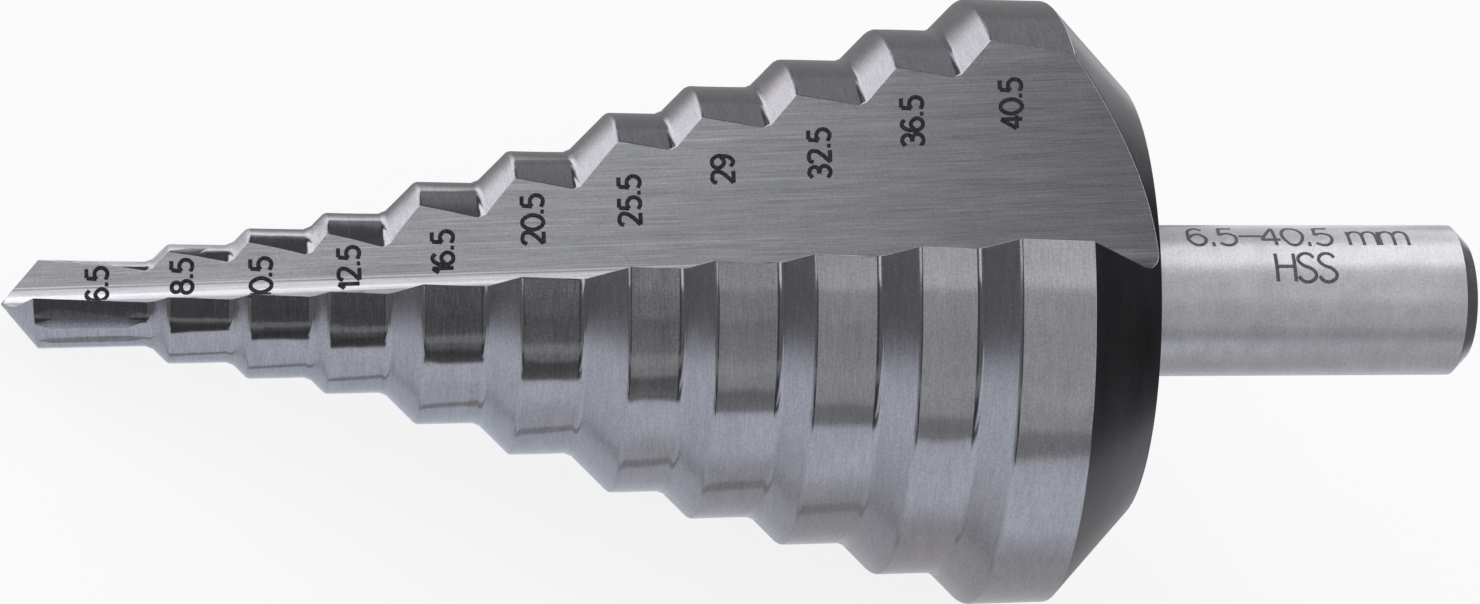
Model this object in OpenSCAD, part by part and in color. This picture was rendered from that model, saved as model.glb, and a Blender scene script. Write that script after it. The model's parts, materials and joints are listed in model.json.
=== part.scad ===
// Step drill with eleven steps, two straight flutes and a round shank, made
// from one piece of tool steel. Millimetres, +Z up.
// It lies on its side as it comes to rest on a table: on the two edges of the
// lower flute at the largest step, and on the first step near the point.
// The point is at the low end of X and the shank at the high end.

/* [Steps] */
// Diameters of the steps at their cutting edges, from the point to the back
step_d = [6.5, 8.5, 10.5, 12.5, 16.5, 20.5, 25.5, 29, 32.5, 36.5, 40.5]; // [4:0.5:60]
// Length of each land along the axis, in the same order
land_len = [7.35, 4, 3.9, 3.75, 3.95, 3.9, 3.45, 4.1, 4.15, 3.85, 4.7]; // [3:0.05:9]
// Slope of the shoulder between two lands, from the axis
shoulder_angle = 45; // [40:1:50]
// Back taper of each land
land_taper = 1; // [0.5:0.1:1.5]
// Length of the small facet at the foot of each shoulder
foot = 0.3; // [0.2:0.05:0.5]

/* [Relief] */
// How far the turning centre of each half lies off the drill's axis
relief_shift = 0.28; // [0.1:0.01:0.5]
// Angle between the cutting edge and the direction of that shift
relief_lead = 25; // [15:1:35]

/* [Point] */
// Half angle of the cone that forms each lip
lip_angle = 52.5; // [48:0.5:57]
// Tilt of that cone towards the flute, which gives the lip its clearance
lip_tilt = 5; // [2:0.5:7]

/* [Flutes] */
// Angle at which the root of the flute climbs away from the axis
flute_climb = 10.2; // [9.8:0.1:10.6]
// Angle by which the root of the flute drifts to its rake wall's side
flute_drift = -4.9; // [-5.3:0.1:-4.5]
// Direction of the rake wall, from the middle of the flute
rake_wall = -16.6; // [-19:0.1:-14]
// Direction of the back wall, from the middle of the flute
back_wall = 60.9; // [58:0.1:64]
// Radius of the root of the flute
root_r = 1.2; // [0.9:0.1:1.5]
// Offset of the sharp root line from the axis at the point, across the flute
root_side = -0.5; // [-0.6:0.05:-0.4]
// Offset of the sharp root line from the axis at the point, along the flute
root_front = -0.35; // [-0.5:0.05:-0.3]

/* [Shank] */
// Overall length
total_len = 96.2; // [92:0.1:105]
// Diameter of the shank
shank_d = 10; // [8:0.5:12]
// Chamfer at the end of the shank
shank_chamfer = 1; // [0.5:0.1:1.5]
// Diameter of the rim behind the largest step
rim_d = 28.6; // [24:0.1:32]
// Slope of the cone behind the largest step, from the axis
back_angle = 46.8; // [42:0.1:50]

/* [Hidden] */
$fn = 180;
steel = [0.66, 0.67, 0.69];
last = len(step_d) - 1;
// Each half is turned off centre, so its own radius is a little under the nominal one.
turned_in = relief_shift * cos(relief_lead);
lip_half_angle = lip_angle + lip_tilt * cos(relief_lead);

function radius(i) = step_d[i] / 2;
function end_radius(i) = radius(i) - land_len[i] * tan(land_taper);
function shoulder_len(i) = (radius(i) - end_radius(i - 1)) / tan(shoulder_angle);
function land_start(i) = i == 0 ? radius(0) / tan(lip_half_angle) : land_end(i - 1) + shoulder_len(i);
function land_end(i) = land_start(i) + land_len[i];

back_len = (end_radius(last) - rim_d / 2) / tan(back_angle);
head_len = land_end(last) + back_len;

// Rest pose: lean of the axis, roll about it, and the way back to the origin.
rest_lean = 14.504;
rest_roll = 1.229;
rest_shift = [-47.068, 0, 2.214];

// Foot facet and crest of the shoulder behind land i, as radius and height.
function shoulder(i) = [
    [end_radius(i) + foot * tan(land_taper), land_end(i) - foot],
    [end_radius(i) + 0.7 * foot * tan(shoulder_angle), land_end(i) + 0.7 * foot],
    [radius(i + 1), land_start(i + 1)]
];

// Outline of one half. It runs past both ends, where the lips' cone and the back cone cut it.
function half_outline() = concat(
    [[0, -1], [radius(0) + (land_start(0) + 1) * tan(land_taper), -1]],
    [for (i = [0 : last - 1]) each shoulder(i)],
    [[end_radius(last) - (back_len + 2) * tan(land_taper), head_len + 2], [0, head_len + 2]]
);

// Lands and shoulders of one half, turned about a centre shifted towards the flute,
// so that every land falls away behind its cutting edge.
module relieved_steps() {
    translate([0, relief_shift, 0])
        rotate_extrude()
            polygon([for (p = half_outline()) [max(0, p[0] - turned_in), p[1]]]);
}

// Cone of one lip, with its tip on the drill's point.
module lip_cone() {
    rotate([-lip_tilt, 0, 0])
        rotate_extrude()
            polygon([[0, 0], [120 * tan(lip_angle), 120], [0, 120]]);
}

// Cone behind the largest step, down to the rim.
module back_cone() {
    rotate_extrude()
        polygon([
            [0, -2],
            [40, -2],
            [40, head_len - (40 - rim_d / 2) / tan(back_angle)],
            [rim_d / 2, head_len],
            [0, head_len]
        ]);
}

// One half of the head, with both flutes ground out of it.
module half_head() {
    difference() {
        intersection() {
            relieved_steps();
            lip_cone();
            translate([-50, -50, -5])
                cube([50, 100, 100]);
            back_cone();
        }
        flute();
        rotate([0, 0, 180])
            flute();
    }
}

// Straight V-shaped flute with a round root.
module flute() {
    half = (back_wall - rake_wall) / 2;
    middle = (back_wall + rake_wall) / 2;
    start = root_r / tan(half);
    translate([root_side, root_front, 0])
        rotate([-flute_climb, flute_drift, 0])
            translate([0, 0, -8])
                linear_extrude(height = 110)
                    union() {
                        polygon([
                            start * [sin(rake_wall), cos(rake_wall)],
                            60 * [sin(rake_wall), cos(rake_wall)],
                            60 * [sin(back_wall), cos(back_wall)],
                            start * [sin(back_wall), cos(back_wall)]
                        ]);
                        translate(root_r / sin(half) * [sin(middle), cos(middle)])
                            circle(r = root_r * 1.005);
                    }
}

// Round shank with a chamfered end.
module shank() {
    rotate_extrude()
        polygon([
            [0, head_len - 10],
            [shank_d / 2, head_len - 10],
            [shank_d / 2, total_len - shank_chamfer],
            [shank_d / 2 - shank_chamfer, total_len],
            [0, total_len]
        ]);
}

// The drill along +Z, with its point at the origin and a flute opening towards +Y.
module drill() {
    union() {
        half_head();
        rotate([0, 0, 180])
            half_head();
        shank();
    }
}

module step_drill() {
    color(steel)
        translate(rest_shift)
            rotate([0, -rest_lean, 0])
                rotate([rest_roll, 0, 0])
                    rotate([90, 0, 90])
                        drill();
}

step_drill();
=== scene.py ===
# Looks of the step drill: ground steel with a finish of its own on the flutes, the turned
# lands, their shoulders, the back and the shank, and the sizes marked on it. The back's steel
# is painted nearly black, a painted shade for the dim room that it reflects, and the flute's
# root is painted lighter than the face, a painted highlight along its fillet.
import json
from math import atan2, cos, hypot, pi, radians, sin, tan
import bmesh
import bpy
from mathutils import Matrix, Vector
from mathutils.bvhtree import BVHTree


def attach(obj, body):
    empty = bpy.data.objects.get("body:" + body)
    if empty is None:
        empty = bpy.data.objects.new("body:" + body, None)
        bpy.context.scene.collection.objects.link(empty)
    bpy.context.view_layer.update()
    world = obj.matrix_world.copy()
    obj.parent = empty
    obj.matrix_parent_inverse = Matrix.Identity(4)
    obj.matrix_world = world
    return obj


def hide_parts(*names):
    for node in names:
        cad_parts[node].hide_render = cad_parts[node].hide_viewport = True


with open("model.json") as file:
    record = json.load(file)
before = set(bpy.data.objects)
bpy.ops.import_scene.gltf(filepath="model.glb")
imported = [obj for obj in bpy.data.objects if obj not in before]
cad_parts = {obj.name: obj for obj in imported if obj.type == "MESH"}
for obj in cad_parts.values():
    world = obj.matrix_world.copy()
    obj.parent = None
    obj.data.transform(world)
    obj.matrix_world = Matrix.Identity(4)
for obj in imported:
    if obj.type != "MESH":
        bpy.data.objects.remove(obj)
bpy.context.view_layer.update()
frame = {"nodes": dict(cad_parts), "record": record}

mm = 0.001

# The drill's own frame has +Z from the point to the shank and a flute towards +Y.
# These values place it as it lies, and match the solids.
rest_lean = radians(14.504)
rest_roll = radians(1.229)
point_place = Vector((-47.068, 0, 2.214)) * mm
axis_place = (Matrix.Translation(point_place)
              @ Matrix.Rotation(-rest_lean, 4, "Y")
              @ Matrix.Rotation(rest_roll, 4, "X"))
drill_place = axis_place @ Matrix.Rotation(pi / 2, 4, "Z") @ Matrix.Rotation(pi / 2, 4, "X")
drill_place_back = drill_place.inverted()

shank_radius = frame["record"]["mounts"][0]["dims"]["r_mm"] * mm
# Heights along the drill: just before the first shoulder, where the cone behind the largest
# step starts, and where that cone ends
before_shoulders = 9 * mm
back_start = 66.95 * mm
head_length = 72.46 * mm
# The facet at a shoulder's foot is shorter than this along the drill.
foot_length = 0.6 * mm
root_radius = 1.2 * mm
# How far each kind of edge is rounded
crest_rounding = 0.19 * mm
broken_back_edge = 0.1 * mm
broken_edge = 0.038 * mm

# The flute: its root line starts beside the point and climbs towards the shank.
flute_turn = (Matrix.Rotation(radians(-4.9), 3, "Y")
              @ Matrix.Rotation(radians(-10.2), 3, "X"))
flute_start = Vector((-0.5, -0.35, 0)) * mm
flute_along = flute_turn @ Vector((0, 0, 1))


def wall_direction(angle):
    """Direction from the flute's root up one of its walls, in the drill's frame."""
    return flute_turn @ Vector((sin(angle), cos(angle), 0))


number_wall = wall_direction(radians(60.9))
rake_wall = wall_direction(radians(-16.6))
number_normal = flute_along.cross(number_wall).normalized()
rake_normal = rake_wall.cross(flute_along).normalized()


def mesh_from(shape, name):
    """Turns a finished shape into a mesh."""
    mesh = bpy.data.meshes.new(name)
    shape.to_mesh(mesh)
    shape.free()
    return mesh


def add_object(name, data):
    """Puts a mesh, curve, lamp or camera in the scene."""
    added = bpy.data.objects.new(name, data)
    bpy.context.scene.collection.objects.link(added)
    return added


# Materials

def new_material(name):
    """A material, its nodes and their links."""
    material = bpy.data.materials.new(name)
    material.use_nodes = True
    return material, material.node_tree.nodes, material.node_tree.links


def add_node(nodes, kind, **values):
    """Adds a node and sets its properties and unlinked inputs by name."""
    node = nodes.new(kind)
    for name, value in values.items():
        if hasattr(node, name):
            setattr(node, name, value)
        else:
            node.inputs[name.replace("_", " ")].default_value = value
    return node


# How rough every noise is, from smooth at 0 to harsh at 1
noise_roughness = 0.6


def lines_noise(nodes, links, coords, spacing, length, detail=3.0):
    """Noise drawn out along the grinding lines, both of its sizes in millimetres."""
    stretch = add_node(nodes, "ShaderNodeMapping")
    stretch.inputs["Scale"].default_value = (1 / length, 1 / spacing, 1)
    noise = add_node(nodes, "ShaderNodeTexNoise", Scale=1.0, Detail=detail,
                     Roughness=noise_roughness)
    links.new(coords, stretch.inputs["Vector"])
    links.new(stretch.outputs["Vector"], noise.inputs["Vector"])
    return noise.outputs["Fac"]


def cloud_noise(nodes, links, size, detail=3.0):
    """Noise that is the same in all directions, with patches of about this size in metres."""
    place = add_node(nodes, "ShaderNodeTexCoord")
    noise = add_node(nodes, "ShaderNodeTexNoise", Scale=1 / size, Detail=detail,
                     Roughness=noise_roughness)
    links.new(place.outputs["Object"], noise.inputs["Vector"])
    return noise.outputs["Fac"]


def blend(nodes, links, first, second, share):
    """Mixes two values, with this share of the second one."""
    mix = add_node(nodes, "ShaderNodeMix", data_type="FLOAT")
    mix.inputs[0].default_value = share
    links.new(first, mix.inputs[2])
    links.new(second, mix.inputs[3])
    return mix.outputs[0]


def fade(nodes, links, noise, span, first, second):
    """Goes from the first colour to the second while the noise crosses this span."""
    ramp = add_node(nodes, "ShaderNodeValToRGB")
    ends = ramp.color_ramp.elements
    ends[0].position = span[0]
    ends[0].color = (*first, 1)
    ends[1].position = span[1]
    ends[1].color = (*second, 1)
    links.new(noise, ramp.inputs["Fac"])
    return ramp.outputs["Color"]


# The coarse lines are this many times as wide and as long as the fine ones.
coarse_spacing = 6
coarse_length = 2.5
coarse_share = 0.35
# Fine specks all over the steel, and the noise values of its darkest and lightest grain
speck_size = 0.15 * mm
grain_span = (0.36, 0.64)
# Large soft patches, a little cooler and warmer in turn
patch_size = 3 * mm
patch_span = (0.35, 0.65)
cool_tint = (0.985, 1.0, 1.025)
warm_tint = (1.01, 0.995, 1.005)
# A few long light scratches, their width and length in millimetres
streak_spacing = 0.22
streak_length = 60.0
streak_span = (0.60, 0.68)
# How far the grain changes the roughness either way, and how strongly it stands out
roughness_change = 0.05
bump_strength = 0.6
# A quarter turn spreads a highlight across the lines, as grooves do.
across_lines = 0.25


def tint_patches(nodes, links, colour, mottle):
    """Tints the steel cooler and warmer in patches, and darker and lighter by the mottle."""
    clouds = cloud_noise(nodes, links, patch_size, 2.0)
    tint = fade(nodes, links, clouds, patch_span,
                Vector(cool_tint) * (1 - mottle), Vector(warm_tint) * (1 + mottle))
    tinted = add_node(nodes, "ShaderNodeMix", data_type="RGBA", blend_type="MULTIPLY")
    tinted.inputs[0].default_value = 1.0
    links.new(colour, tinted.inputs[6])
    links.new(tint, tinted.inputs[7])
    return tinted.outputs[2]


def lighten_streaks(nodes, links, coords, colour, streaks):
    """Lightens the steel along a few of its grinding lines by up to this share."""
    lines = lines_noise(nodes, links, coords, streak_spacing, streak_length, 2.0)
    bright = add_node(nodes, "ShaderNodeMapRange")
    bright.inputs["From Min"].default_value = streak_span[0]
    bright.inputs["From Max"].default_value = streak_span[1]
    bright.inputs["To Min"].default_value = 1.0
    bright.inputs["To Max"].default_value = 1.0 + streaks
    links.new(lines, bright.inputs["Value"])
    lifted = add_node(nodes, "ShaderNodeVectorMath", operation="SCALE")
    links.new(colour, lifted.inputs[0])
    links.new(bright.outputs["Result"], lifted.inputs["Scale"])
    return lifted.outputs[0]


def ground_steel(name, dark, light, roughness, anisotropy, spacing, length, depth,
                 speckle=0.3, streaks=0.0, mottle=0.015):
    """Ground steel whose fine lines follow the piece's own UV map. Their spacing and length
    are in millimetres and their depth is in metres."""
    material, nodes, links = new_material(name)
    shader = nodes["Principled BSDF"]
    shader.inputs["Metallic"].default_value = 1.0
    shader.inputs["Anisotropic"].default_value = anisotropy
    shader.inputs["Anisotropic Rotation"].default_value = across_lines
    coords = add_node(nodes, "ShaderNodeUVMap", uv_map="grain").outputs["UV"]

    fine = lines_noise(nodes, links, coords, spacing, length)
    coarse = lines_noise(nodes, links, coords, spacing * coarse_spacing, length * coarse_length)
    lines = blend(nodes, links, fine, coarse, coarse_share)
    specks = cloud_noise(nodes, links, speck_size)
    grain = blend(nodes, links, lines, specks, speckle)

    colour = fade(nodes, links, grain, grain_span, dark, light)
    colour = tint_patches(nodes, links, colour, mottle)
    if streaks:
        colour = lighten_streaks(nodes, links, coords, colour, streaks)
    links.new(colour, shader.inputs["Base Color"])

    rough = add_node(nodes, "ShaderNodeMapRange")
    rough.inputs["To Min"].default_value = roughness - roughness_change
    rough.inputs["To Max"].default_value = roughness + roughness_change
    links.new(grain, rough.inputs["Value"])
    links.new(rough.outputs["Result"], shader.inputs["Roughness"])

    bump = add_node(nodes, "ShaderNodeBump", Strength=bump_strength, Distance=depth)
    links.new(grain, bump.inputs["Height"])
    links.new(bump.outputs["Normal"], shader.inputs["Normal"])

    along_lines = add_node(nodes, "ShaderNodeTangent", direction_type="UV_MAP", uv_map="grain")
    links.new(along_lines.outputs["Tangent"], shader.inputs["Tangent"])
    return material


# The marks are matt, and uneven at this size.
ink_roughness = 0.75
ink_gloss = 0.2
ink_speck = 0.15 * mm
ink_span = (0.35, 0.7)


def mark_ink(name, dark, light):
    """Marks burnt into the steel by a laser, a little uneven."""
    material, nodes, links = new_material(name)
    shader = nodes["Principled BSDF"]
    shader.inputs["Roughness"].default_value = ink_roughness
    shader.inputs["Specular IOR Level"].default_value = ink_gloss
    clouds = cloud_noise(nodes, links, ink_speck)
    colour = fade(nodes, links, clouds, ink_span, dark, light)
    links.new(colour, shader.inputs["Base Color"])
    return material


finishes = {
    "flute_face": ground_steel("flute_face", (0.285, 0.284, 0.300), (0.545, 0.543, 0.562),
                               roughness=0.33, anisotropy=0.6, spacing=0.09, length=4.0,
                               depth=0.004 * mm, speckle=0.28, streaks=0.22),
    # The root's fillet is real, and its steel is painted lighter than the face's: a painted
    # highlight along the root.
    "flute_root": ground_steel("flute_root", (0.45, 0.45, 0.47), (0.64, 0.64, 0.66),
                               roughness=0.26, anisotropy=0.5, spacing=0.10, length=6.0,
                               depth=0.003 * mm, speckle=0.2),
    "turned": ground_steel("turned", (0.290, 0.288, 0.304), (0.452, 0.449, 0.472),
                           roughness=0.15, anisotropy=0.6, spacing=0.12, length=1.5,
                           depth=0.0025 * mm, speckle=0.45),
    "shoulder": ground_steel("shoulder", (0.290, 0.288, 0.304), (0.452, 0.449, 0.472),
                             roughness=0.26, anisotropy=0.6, spacing=0.12, length=1.5,
                             depth=0.0025 * mm, speckle=0.45),
    # The back's grain and roughness are its own. Its nearly black colour is painted shade for the
    # dim room that the cone reflects.
    "back": ground_steel("back", (0.052, 0.050, 0.055), (0.108, 0.105, 0.112),
                         roughness=0.34, anisotropy=0.6, spacing=0.10, length=6.0,
                         depth=0.003 * mm, speckle=0.3),
    "shank": ground_steel("shank", (0.41, 0.41, 0.425), (0.575, 0.573, 0.592),
                          roughness=0.36, anisotropy=0.3, spacing=0.12, length=1.5,
                          depth=0.002 * mm, speckle=0.6, mottle=0.06),
}
finish_order = list(finishes)
number_ink = mark_ink("burnt_number", (0.012, 0.012, 0.014), (0.065, 0.065, 0.072))
shank_ink = mark_ink("burnt_shank_mark", (0.08, 0.08, 0.085), (0.17, 0.17, 0.18))


# The drill's surface

# A face of a flute turns away from the flute's direction by no more than this share. On a wall,
# its middle is this near the wall's plane, and its direction agrees with the wall's this much.
along_share = 0.01
wall_reach = 0.05 * mm
wall_agreement = 0.9995
# The cone at the back and the shoulders face along the drill by more than these shares.
back_facing = 0.4
shoulder_facing = 0.6
height_slack = 0.01 * mm


def onto_first_half(vector, half):
    """Brings a vector of the second half, which is turned half round, onto the first half."""
    return Vector((vector.x * half, vector.y * half, vector.z))


def flute_zone(centre, normal, half):
    """Names the finish of a face in the flute of one half, or gives None where it isn't there."""
    from_root = onto_first_half(centre, half) - flute_start
    facing = onto_first_half(normal, half)
    if abs(facing.dot(flute_along)) > along_share:
        return None
    for wall, wall_normal in ((number_wall, number_normal), (rake_wall, rake_normal)):
        in_wall = abs(from_root.dot(wall_normal)) < wall_reach
        if in_wall and facing.dot(wall_normal) > wall_agreement:
            return "flute_face", half, wall
    off_root = from_root - from_root.dot(flute_along) * flute_along
    if off_root.length < 2 * root_radius:
        return "flute_root", half, number_wall
    return None


def zone_of(centre, normal):
    """Names the finish of a face from its middle and its normal, both in the drill's frame."""
    for half in (1, -1):
        zone = flute_zone(centre, normal, half)
        if zone:
            return zone
    on_shank = hypot(centre.x, centre.y) < shank_radius * 1.001 and centre.z > back_start
    if on_shank or centre.z > head_length - height_slack:
        return "shank", 0, None
    if centre.z > back_start + height_slack and normal.z > back_facing:
        return "back", 0, None
    name = "shoulder" if abs(normal.z) > shoulder_facing else "turned"
    return name, 0, None


def grain_place(point, half, wall, middle_angle):
    """Millimetres along and across the grinding lines, for one corner of a face."""
    if half:
        from_root = onto_first_half(point, half) - flute_start
        return from_root.dot(flute_along) / mm, from_root.dot(wall) / mm
    radius = hypot(point.x, point.y)
    angle = atan2(point.x, point.y)
    if angle - middle_angle > pi:
        angle -= 2 * pi
    if angle - middle_angle < -pi:
        angle += 2 * pi
    return angle * radius / mm, (point.z + radius) / mm


def finish_faces(shape):
    """Gives each face its finish and its grinding lines."""
    grain = shape.loops.layers.uv.new("grain")
    turn_back = drill_place_back.to_3x3()
    for face in shape.faces:
        face.smooth = True
        centre = drill_place_back @ face.calc_center_median_weighted()
        normal = turn_back @ face.normal
        zone, half, wall = zone_of(centre, normal)
        face.material_index = finish_order.index(zone)
        middle_angle = atan2(centre.x, centre.y)
        for corner in face.loops:
            point = drill_place_back @ corner.vert.co
            corner[grain].uv = grain_place(point, half, wall, middle_angle)


# A crest is level round the drill, and its faces meet at an angle between these two.
crest_slack = 0.005 * mm
crest_angles = (radians(38), radians(50))
# Faces that meet at more than this have an edge between them.
edge_angle = radians(30)


def is_crest(edge):
    """Tells a shoulder's outer edge, which runs round the drill where a land begins."""
    ends = [drill_place_back @ corner.co for corner in edge.verts]
    if abs(ends[0].z - ends[1].z) > crest_slack or not edge.is_convex:
        return False
    if not before_shoulders < ends[0].z < back_start - 1 * mm:
        return False
    return crest_angles[0] < edge.calc_face_angle(0) < crest_angles[1]


def is_back_edge(edge):
    """Tells an edge between a flute's face and the cone behind the largest step."""
    zones = {finish_order[face.material_index] for face in edge.link_faces}
    return zones == {"flute_face", "back"}


def measure_edges(shape):
    """Says how far each edge is to be rounded, as a share of the crests' rounding."""
    round_off = shape.edges.layers.float.new("bevel_weight_edge")
    for edge in shape.edges:
        if is_crest(edge):
            edge[round_off] = 1.0
        elif edge.calc_face_angle(0) > edge_angle:
            edge[round_off] = broken_edge / crest_rounding
            if is_back_edge(edge):
                edge[round_off] = broken_back_edge / crest_rounding


def is_narrow(face):
    """Tells a rounding, or the facet at a shoulder's foot, from the wide faces beside it."""
    if face.calc_area() / max(edge.calc_length() for edge in face.edges) < 2 * broken_edge:
        return True
    heights = [(drill_place_back @ corner.co).z for corner in face.verts]
    return heights[0] < back_start and max(heights) - min(heights) < foot_length


# How far a face may turn from another that shades it: from a rounding to the wide faces beside
# it, between wide faces that run on into each other, and between narrow ones round a corner
beside_rounding = radians(58)
running_on = radians(12)
round_corner = radians(40)


def shading_faces(face, corner, narrow):
    """Chooses the faces whose directions shade one corner of a face."""
    around = [(other, other.normal.angle(face.normal, 0)) for other in corner.vert.link_faces]
    reach = beside_rounding if narrow[face] else running_on
    wide = [other for other, angle in around if not narrow[other] and angle < reach]
    if narrow[face] and not wide:
        return [other for other, angle in around if angle < round_corner]
    if narrow[face]:
        nearest = min(wide, key=lambda other: other.normal.angle(face.normal, 0))
        return [other for other in wide if other.normal.angle(nearest.normal, 0) < running_on]
    flute_face = finish_order.index("flute_face")
    if face.material_index == flute_face:
        return [face]
    return [other for other in wide if other.material_index == flute_face] or wide


def shade_roundings(mesh):
    """Turns the light smoothly over each rounding and foot, and keeps the wide faces even."""
    shape = bmesh.new()
    shape.from_mesh(mesh)
    narrow = {face: is_narrow(face) for face in shape.faces}
    normals = []
    for face in shape.faces:
        for corner in face.loops:
            chosen = shading_faces(face, corner, narrow)
            normals.append(sum((other.normal * other.calc_area() for other in chosen),
                               Vector()).normalized())
    shape.free()
    mesh.normals_split_custom_set(normals)


# Corners nearer than this are one corner, and faces flatter than this are one face.
merge_distance = 0.001 * mm
flat_angle = radians(0.3)


def drill_surface():
    """A merged copy of the solid, with a finish and a grain for each of its faces, the crests
    of its shoulders rounded and its other edges lightly broken."""
    solid = frame["nodes"]["step_drill"]
    shape = bmesh.new()
    shape.from_mesh(solid.data)
    bmesh.ops.remove_doubles(shape, verts=shape.verts, dist=merge_distance)
    bmesh.ops.dissolve_limit(shape, angle_limit=flat_angle, verts=shape.verts, edges=shape.edges)
    shape.normal_update()
    finish_faces(shape)
    measure_edges(shape)
    mesh = mesh_from(shape, "drill_surface")
    for name in finish_order:
        mesh.materials.append(finishes[name])
    piece = add_object("drill_surface", mesh)
    rounding = piece.modifiers.new("rounding", "BEVEL")
    rounding.limit_method = "WEIGHT"
    rounding.width = crest_rounding
    rounding.segments = 3
    rounding.use_clamp_overlap = False
    view_layer = bpy.context.evaluated_depsgraph_get()
    piece.data = bpy.data.meshes.new_from_object(piece.evaluated_get(view_layer))
    piece.data.name = "drill_surface"
    piece.modifiers.clear()
    bpy.data.meshes.remove(mesh)
    shade_roundings(piece.data)
    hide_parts("step_drill")
    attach(piece, "root")
    return piece


# The marks

# Strokes of the pen for each character, in shares of its height. A loop and a bow are smooth,
# and a line is straight from point to point.
pen_strokes = {
    "0": [("loop", (0.26, 1), (0.5, 0.75), (0.5, 0.25), (0.26, 0), (0.02, 0.25), (0.02, 0.75))],
    "1": [("line", (0.0, 0.70), (0.18, 1), (0.18, 0))],
    "2": [("bow", (0.03, 0.78), (0.10, 0.95), (0.27, 1), (0.46, 0.9), (0.48, 0.68),
           (0.36, 0.42), (0.02, 0)), ("line", (0.02, 0), (0.5, 0))],
    "3": [("bow", (0.04, 0.85), (0.25, 1), (0.47, 0.8), (0.4, 0.58), (0.2, 0.53)),
          ("bow", (0.2, 0.53), (0.43, 0.46), (0.5, 0.25), (0.27, 0), (0.03, 0.12))],
    "4": [("line", (0.38, 0), (0.38, 1), (0, 0.27), (0.52, 0.27))],
    "5": [("line", (0.47, 1), (0.1, 1), (0.05, 0.52)),
          ("bow", (0.05, 0.52), (0.24, 0.62), (0.45, 0.5), (0.5, 0.3), (0.4, 0.06),
           (0.22, 0), (0.02, 0.1))],
    "6": [("bow", (0.45, 0.86), (0.28, 1), (0.08, 0.82), (0.02, 0.45), (0.02, 0.25),
           (0.25, 0), (0.49, 0.22), (0.4, 0.5), (0.25, 0.57), (0.04, 0.4))],
    "8": [("loop", (0.25, 1), (0.45, 0.78), (0.25, 0.55), (0.05, 0.78)),
          ("loop", (0.25, 0.55), (0.5, 0.28), (0.25, 0), (0.0, 0.28))],
    "9": [("bow", (0.05, 0.14), (0.22, 0), (0.42, 0.18), (0.48, 0.55), (0.48, 0.75),
           (0.25, 1), (0.01, 0.78), (0.1, 0.5), (0.25, 0.43), (0.46, 0.6))],
    ".": [("line", (0.05, -0.04), (0.05, 0.13))],
    "-": [("line", (-0.03, 0.45), (0.62, 0.45))],
    "m": [("line", (0, 0), (0, 0.72)),
          ("bow", (0, 0.5), (0.13, 0.70), (0.31, 0.69), (0.39, 0.5)),
          ("line", (0.39, 0.5), (0.39, 0)),
          ("bow", (0.39, 0.5), (0.52, 0.70), (0.70, 0.69), (0.78, 0.5)),
          ("line", (0.78, 0.5), (0.78, 0))],
    "H": [("line", (0, 0), (0, 1)), ("line", (0.5, 0), (0.5, 1)), ("line", (0, 0.52), (0.5, 0.52))],
    "S": [("bow", (0.48, 0.84), (0.36, 0.99), (0.16, 0.98), (0.04, 0.78), (0.14, 0.58),
           (0.40, 0.42), (0.5, 0.2), (0.36, 0.01), (0.14, 0.01), (0.01, 0.17))],
    " ": [],
}
# How far the pen moves on after each character, in shares of its height
pen_steps = {"1": 0.37, ".": 0.26, "-": 0.69, "m": 1.03, "H": 0.68, "S": 0.68, " ": 0.42}
digit_step = 0.74
# The characters are this much wider than their strokes above say.
pen_width = 1.18

# How far the marks stand off the steel at most
mark_height = 0.012 * mm
number_height = 1.62 * mm
number_pen = 0.27 * mm
# The size of each step, and where its line of digits starts: along the flute and up its wall
number_marks = [
    ("6.5", 7.07, 0.44), ("8.5", 12.54, 0.77), ("10.5", 17.61, 0.20), ("12.5", 23.25, 0.72),
    ("16.5", 29.27, 1.52), ("20.5", 35.05, 3.12), ("25.5", 41.25, 4.11), ("29", 47.22, 6.58),
    ("32.5", 53.38, 6.68), ("36.5", 59.32, 8.51), ("40.5", 65.60, 9.43),
]
shank_pen = 0.24 * mm
# Each line on the shank: its words, height, width share, start along the drill, baseline angle
shank_marks = [("6.5-40.5 mm", 2.38, 0.95, 76.8, 10.8), ("HSS", 2.28, 1.0, 82.35, -21.5)]

# Lengths of the pen's path over this are cut up, so that they can bend with the steel.
longest_cut = 0.25 * mm
cuts = 7
# A mark is lowered onto the steel from this far off, over this length. It stops where there is
# no steel, or where the steel leans away from the mark's own plane by more than this allows.
above_steel = 3 * mm
way_down = 5 * mm
steel_agreement = 0.6


def pen_stroke(curve, places, handles, closed):
    """Draws one stroke of the pen through these places."""
    stroke = curve.splines.new("BEZIER")
    stroke.bezier_points.add(len(places) - 1)
    stroke.use_cyclic_u = closed
    for knot, place in zip(stroke.bezier_points, places):
        knot.co = place
        knot.handle_left_type = handles
        knot.handle_right_type = handles


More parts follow.
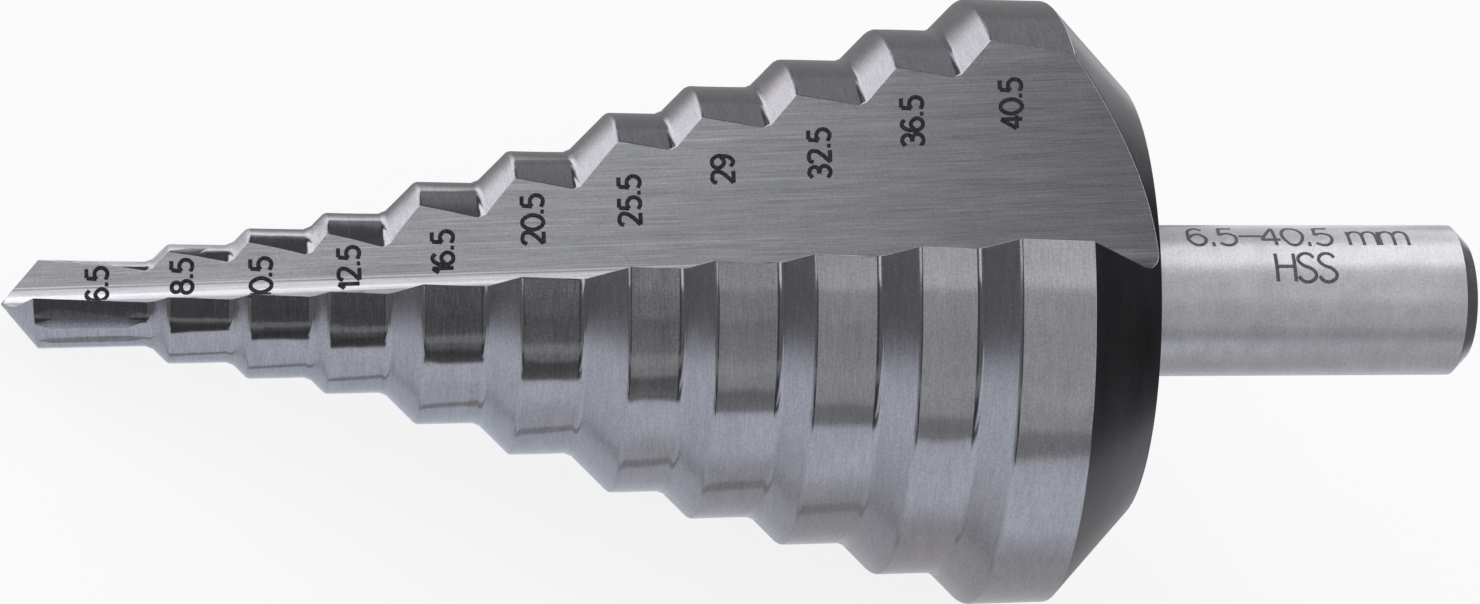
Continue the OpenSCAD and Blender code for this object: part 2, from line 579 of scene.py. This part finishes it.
def pen_work(text, height, pen):
    """Characters drawn with a round pen, flat on XY from the origin along X."""
    curve = bpy.data.curves.new("pen_work", "CURVE")
    curve.dimensions = "3D"
    curve.bevel_depth = pen / 2
    curve.bevel_resolution = 2
    curve.resolution_u = 5
    curve.use_fill_caps = True
    size = height - pen
    start = pen / 2
    for character in text:
        for kind, *points in pen_strokes[character]:
            places = [(start + across * pen_width * size, pen / 2 + up * size, 0)
                      for across, up in points]
            if kind == "line":
                for ends in zip(places, places[1:]):
                    pen_stroke(curve, ends, "VECTOR", False)
            else:
                pen_stroke(curve, places, "AUTO", kind == "loop")
        start += pen_steps.get(character, digit_step) * size
    holder = add_object("pen_work", curve)
    bpy.context.view_layer.update()
    mesh = bpy.data.meshes.new_from_object(holder)
    bpy.data.objects.remove(holder)
    bpy.data.curves.remove(curve)
    shape = bmesh.new()
    shape.from_mesh(mesh)
    bpy.data.meshes.remove(mesh)
    long_edges = [edge for edge in shape.edges if edge.calc_length() > longest_cut]
    bmesh.ops.subdivide_edges(shape, edges=long_edges, cuts=cuts)
    bmesh.ops.scale(shape, vec=(1, 1, mark_height / (pen / 2)), verts=shape.verts)
    return shape


def finish_mark(shape, name, ink):
    """Makes a mark that lies on the steel a piece of its own."""
    mesh = mesh_from(shape, name)
    mesh.materials.append(ink)
    piece = add_object(name, mesh)
    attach(piece, "root")


def number_mark(text, along, up, surface):
    """The size of a step on the number face, read from the flute's root outwards."""
    shape = pen_work(text, number_height, number_pen)
    place = Matrix.Identity(4)
    place.col[0].xyz = number_wall
    place.col[1].xyz = -flute_along
    place.col[2].xyz = number_normal
    place.col[3].xyz = flute_start + along * mm * flute_along + up * mm * number_wall
    flat = {corner: corner.co.z for corner in shape.verts}
    shape.transform(drill_place @ place)
    away = (drill_place.to_3x3() @ number_normal).normalized()
    beyond = []
    for corner in shape.verts:
        hit = surface.ray_cast(corner.co + away * above_steel, -away, way_down)
        if hit[0] is None or hit[1].dot(away) < steel_agreement:
            beyond.append(corner)
        else:
            corner.co = hit[0] + away * flat[corner]
    bmesh.ops.delete(shape, geom=beyond, context="VERTS")
    finish_mark(shape, "number_" + text.replace(".", "_"), number_ink)


def shank_mark(text, height, width, along, base_angle, name):
    """A line of words round the shank, read along the drill."""
    shape = pen_work(text, height * mm, shank_pen)
    for corner in shape.verts:
        angle = radians(base_angle) + corner.co.y / shank_radius
        radius = shank_radius + corner.co.z
        corner.co = Vector((radius * sin(angle), radius * cos(angle),
                            along * mm + corner.co.x * width))
    shape.transform(drill_place)
    finish_mark(shape, name, shank_ink)


drill = drill_surface()
steel_surface = BVHTree.FromObject(drill, bpy.context.evaluated_depsgraph_get())
for mark in number_marks:
    number_mark(*mark, steel_surface)
for mark, name in zip(shank_marks, ("shank_sizes", "shank_grade")):
    shank_mark(*mark, name)


# Camera, floor and light

# The picture's width and the lens's focal length in pixels, and the sensor's width in mm
picture_width = 1480
lens_pixels = 4470.4
sensor_width = 36
# The camera looks down on the drill by this much, turned about the drill's axis.
look_down = radians(-55.5)
# The view's own frame starts at the point, with X along the drill, Y away from the camera and
# Z up in the picture.
view_turn = axis_place @ Matrix.Rotation(look_down, 4, "X")
# The camera in that frame: its place, its turn towards the shank and its roll in radians
camera_place = Vector((7.33, -288.98, 0)) * mm
camera_turn = radians(-7.943)
camera_roll = 0.00301
# The softboxes face this place on the axis, half way along the drill.
drill_middle = view_turn @ (Vector((48, 0, 0)) * mm)


def add_camera():
    """The camera, which sees the drill as the photo does."""
    view = bpy.data.cameras.new("camera")
    view.sensor_width = sensor_width
    view.lens = lens_pixels / picture_width * view.sensor_width
    view.clip_start = 0.01
    camera = add_object("camera", view)
    camera.matrix_world = (view_turn
                           @ Matrix.Translation(camera_place)
                           @ Matrix.Rotation(camera_turn, 4, "Z")
                           @ Matrix.Rotation(camera_roll, 4, "Y")
                           @ Matrix.Rotation(pi / 2, 4, "X"))
    bpy.context.scene.camera = camera


def mix_shaders(nodes, links, share, first, second):
    """Mixes two shaders, with this share of the second one."""
    mix = add_node(nodes, "ShaderNodeMixShader")
    links.new(share, mix.inputs["Fac"])
    links.new(first, mix.inputs[1])
    links.new(second, mix.inputs[2])
    return mix.outputs[0]


def times(nodes, links, value, factor):
    """Multiplies a value by a number."""
    product = add_node(nodes, "ShaderNodeMath", operation="MULTIPLY")
    product.inputs[1].default_value = factor
    links.new(value, product.inputs[0])
    return product.outputs[0]


floor_size = 3.0
floor_colour = (0.88, 0.88, 0.88, 1)
floor_roughness = 0.9
# The camera and the steel's reflections see this much of the paper's own white. The rest is
# the lit floor, which keeps the drill's shadow.
white_to_camera = 0.85
white_in_steel = 0.58
# The paper looks a little blue in the steel.
blue_in_steel = (0.93, 1.0, 1.12, 1)


def floor_paper():
    """White paper that is lit by the lamps and shows some white of its own."""
    material, nodes, links = new_material("floor")
    shader = nodes["Principled BSDF"]
    shader.inputs["Base Color"].default_value = floor_colour
    shader.inputs["Roughness"].default_value = floor_roughness
    shader.inputs["Specular IOR Level"].default_value = 0.0
    paper = add_node(nodes, "ShaderNodeEmission", Strength=1.0)
    rays = add_node(nodes, "ShaderNodeLightPath")
    tint = add_node(nodes, "ShaderNodeMix", data_type="RGBA")
    tint.inputs[6].default_value = blue_in_steel
    tint.inputs[7].default_value = (1, 1, 1, 1)
    links.new(rays.outputs["Is Camera Ray"], tint.inputs[0])
    links.new(tint.outputs[2], paper.inputs["Color"])
    seen = times(nodes, links, rays.outputs["Is Camera Ray"], white_to_camera)
    mirrored = times(nodes, links, rays.outputs["Is Glossy Ray"], white_in_steel)
    share = add_node(nodes, "ShaderNodeMath", operation="ADD")
    links.new(seen, share.inputs[0])
    links.new(mirrored, share.inputs[1])
    surface = mix_shaders(nodes, links, share.outputs[0], shader.outputs[0], paper.outputs[0])
    links.new(surface, nodes["Material Output"].inputs["Surface"])
    return material


def add_floor():
    """The floor that the drill lies on."""
    shape = bmesh.new()
    bmesh.ops.create_grid(shape, x_segments=1, y_segments=1, size=floor_size)
    mesh = mesh_from(shape, "floor")
    mesh.materials.append(floor_paper())
    floor = add_object("floor", mesh)


def toward(turn, rise):
    """Direction in the room: turned to the right along the drill, then raised, both in degrees.
    Zero and zero look back from the drill towards the camera, square to the drill's axis."""
    turn = radians(turn)
    rise = radians(rise)
    local = Vector((sin(turn), -cos(turn) * cos(rise), cos(turn) * sin(rise)))
    return (view_turn.to_3x3() @ local).normalized()


softbox_distance = 0.7


def add_softbox(name, turn, rise, width, height, radiance):
    """A rectangular lamp that faces the drill. Width and height are the degrees that it covers."""
    light = bpy.data.lights.new(name, "AREA")
    light.shape = "RECTANGLE"
    light.size = 2 * softbox_distance * tan(radians(width / 2))
    light.size_y = 2 * softbox_distance * tan(radians(height / 2))
    light.energy = radiance * pi * light.size * light.size_y
    lamp = add_object(name, light)
    away = toward(turn, rise)
    across = (view_turn.to_3x3() @ Vector((1, 0, 0))).normalized()
    across = (across - across.dot(away) * away).normalized()
    place = Matrix.Identity(4)
    place.col[0].xyz = across
    place.col[1].xyz = away.cross(across)
    place.col[2].xyz = away
    place.col[3].xyz = away * softbox_distance + drill_middle
    lamp.matrix_world = place
    lamp.visible_camera = False


card_tint = (1.015, 0.99, 1.015, 1)


def fade_out(nodes, links, glow, across, along, half_across, half_along, start):
    """Fades a card out towards the rim of an ellipse, given by its middle and its half widths in
    millimetres, from the share of the way where the fading starts."""
    place = add_node(nodes, "ShaderNodeTexCoord")
    fit = add_node(nodes, "ShaderNodeMapping")
    fit.inputs["Scale"].default_value = (1 / (half_across * mm), 1 / (half_along * mm), 0)
    fit.inputs["Location"].default_value = (-across / half_across, -along / half_along, 0)
    reach = add_node(nodes, "ShaderNodeVectorMath", operation="LENGTH")
    gone = add_node(nodes, "ShaderNodeMapRange", interpolation_type="SMOOTHSTEP")
    gone.inputs["From Min"].default_value = start
    clear = add_node(nodes, "ShaderNodeBsdfTransparent")
    links.new(place.outputs["Object"], fit.inputs["Vector"])
    links.new(fit.outputs["Vector"], reach.inputs[0])
    links.new(reach.outputs["Value"], gone.inputs["Value"])
    return mix_shaders(nodes, links, gone.outputs["Result"], glow, clear.outputs[0])


def card_glow(name, shade, soft):
    """The plain light of a card of this shade, which fades out where the card is soft."""
    material, nodes, links = new_material(name)
    glow = add_node(nodes, "ShaderNodeEmission", Strength=shade)
    glow.inputs["Color"].default_value = card_tint
    surface = glow.outputs[0]
    if soft:
        surface = fade_out(nodes, links, surface, *soft)
    links.new(surface, nodes["Material Output"].inputs["Surface"])
    return material


def add_card(name, shade, corners, soft=None):
    """A studio card that shows only in the steel's reflections."""
    shape = bmesh.new()
    shape.faces.new([shape.verts.new(Vector(corner) * mm) for corner in corners])
    mesh = mesh_from(shape, name)
    mesh.materials.append(card_glow(name, shade, soft))
    card = add_object(name, mesh)
    card.visible_camera = False
    card.visible_diffuse = False
    card.visible_shadow = False


room_colour = (0.95, 0.97, 1.0, 1)
room_strength = 0.088


def add_room():
    """The dim room round the drill, which is white only to the camera."""
    world = bpy.data.worlds.new("room")
    bpy.context.scene.world = world
    world.use_nodes = True
    nodes = world.node_tree.nodes
    links = world.node_tree.links
    room = nodes["Background"]
    room.inputs["Color"].default_value = room_colour
    room.inputs["Strength"].default_value = room_strength
    backdrop = add_node(nodes, "ShaderNodeBackground", Strength=1.0)
    rays = add_node(nodes, "ShaderNodeLightPath")
    surface = mix_shaders(nodes, links, rays.outputs["Is Camera Ray"],
                          room.outputs[0], backdrop.outputs[0])
    links.new(surface, nodes["World Output"].inputs["Surface"])


# Name, turn, rise, width and height in degrees, and radiance
softboxes = [
    ("top_left_softbox", -37, 87, 52, 50, 1.75),
    ("top_right_softbox", 32, 77, 42, 38, 1.9),
    ("left_softbox", -24.5, 37, 27, 52, 1.07),
    ("front_left_softbox", -41, -14, 54, 56, 0.13),
    ("front_band_softbox", -13, -36, 42, 8, 0.20),
    ("edge_softbox", 9.2, 4, 1.8, 30, 0.42),
    ("right_softbox", 30, 3, 40, 110, 0.51),
    ("far_right_softbox", 34, -15, 30, 50, 0.42),
    ("high_right_softbox", 31, 34, 38, 60, 0.40),
    ("back_softbox", 29, 116, 30, 34, 1.8),
]
# Name, shade, corners in millimetres, and for a soft card the middle, the half widths and the
# start of its fading
cards = [
    ("left_card", 0.19, [(-110, -60, 0), (-110, 45, 0), (-110, 45, 50), (-110, -60, 50)]),
    ("left_shade", 0.12, [(-205, 30, 0.4), (-30, 30, 0.4), (-30, -100, 0.4), (-205, -100, 0.4)],
     (-120, -8, 82, 72, 0.35)),
    ("right_card", 0.10, [(85, -60, 0), (85, 40, 0), (85, 40, 90), (85, -60, 90)]),
    ("white_card_left", 1.6, [(-200, 80, 0.6), (-90, 40, 0.6), (-62, 20, 0.6), (-46, 10, 0.6),
                              (-20, 10, 0.6), (8, 60, 0.6), (-6, 94, 0.6), (-26, 116, 0.6),
                              (-34, 160, 0.6), (-36, 235, 0.6), (-200, 235, 0.6)],
     (-126, 105, 134, 135, 0.78)),
    ("grey_card_back", 0.27, [(-47, 10, 0.4), (40, 14, 0.4), (47, 40, 0.4), (57, 110, 0.4),
                              (78, 170, 0.4), (124, 321, 0.4), (-47, 321, 0.4)]),
    ("white_card_right", 1.3, [(44, 10, 0.3), (44, 321, 0.3), (400, 321, 0.3), (400, 10, 0.3)]),
    ("right_shade", 0.55, [(66, 53, 0.4), (400, 53, 0.4), (400, 321, 0.4), (130, 321, 0.4)]),
    ("back_wall", 0.33, [(-15, 320, 0), (118, 320, 0), (118, 320, 210), (-15, 320, 210)]),
    ("front_shade", 0.53, [(-40, 5, 0.4), (100, 5, 0.4), (100, -60, 0.4), (-40, -60, 0.4)],
     (30, -22, 57, 25, 0.3)),
    ("shank_shade", 0.56, [(28, 9, 0.5), (120, 9, 0.5), (120, -85, 0.5), (28, -85, 0.5)],
     (72, -40, 42, 42, 0.3)),
    ("shank_floor", 0.66, [(50, -70, 0.4), (350, -70, 0.4), (350, -419, 0.4), (112, -419, 0.4)]),
    ("dark_far_floor", 0.07, [(-60, -64, 0.4), (-38, -68, 0.4), (-26, -112, 0.4), (3, -150, 0.4),
                              (20, -185, 0.4), (50, -290, 0.4), (80, -419, 0.4), (-60, -419, 0.4)]),
    ("front_wall_left", 0.06, [(-250, -420, 0), (50, -420, 0), (50, -420, 86), (-250, -420, 86)]),
    ("front_wall_right", 0.37, [(50, -420, 0), (350, -420, 0), (350, -420, 76), (50, -420, 76)]),
    ("front_strip", 0.38, [(-44, -4.2, 0.6), (-33, -6, 0.6), (-16, -12.4, 0.6), (-2.5, -18.3, 0.6),
                           (14, -24.4, 0.6), (14, -28, 0.6), (-2.5, -21.2, 0.6), (-16, -14.3, 0.6),
                           (-33, -7.2, 0.6), (-44, -4.7, 0.6)]),
]

add_camera()
add_floor()
add_room()
for softbox in softboxes:
    add_softbox(*softbox)
for card in cards:
    add_card(*card)

scene = bpy.context.scene
scene.view_settings.view_transform = "Standard"
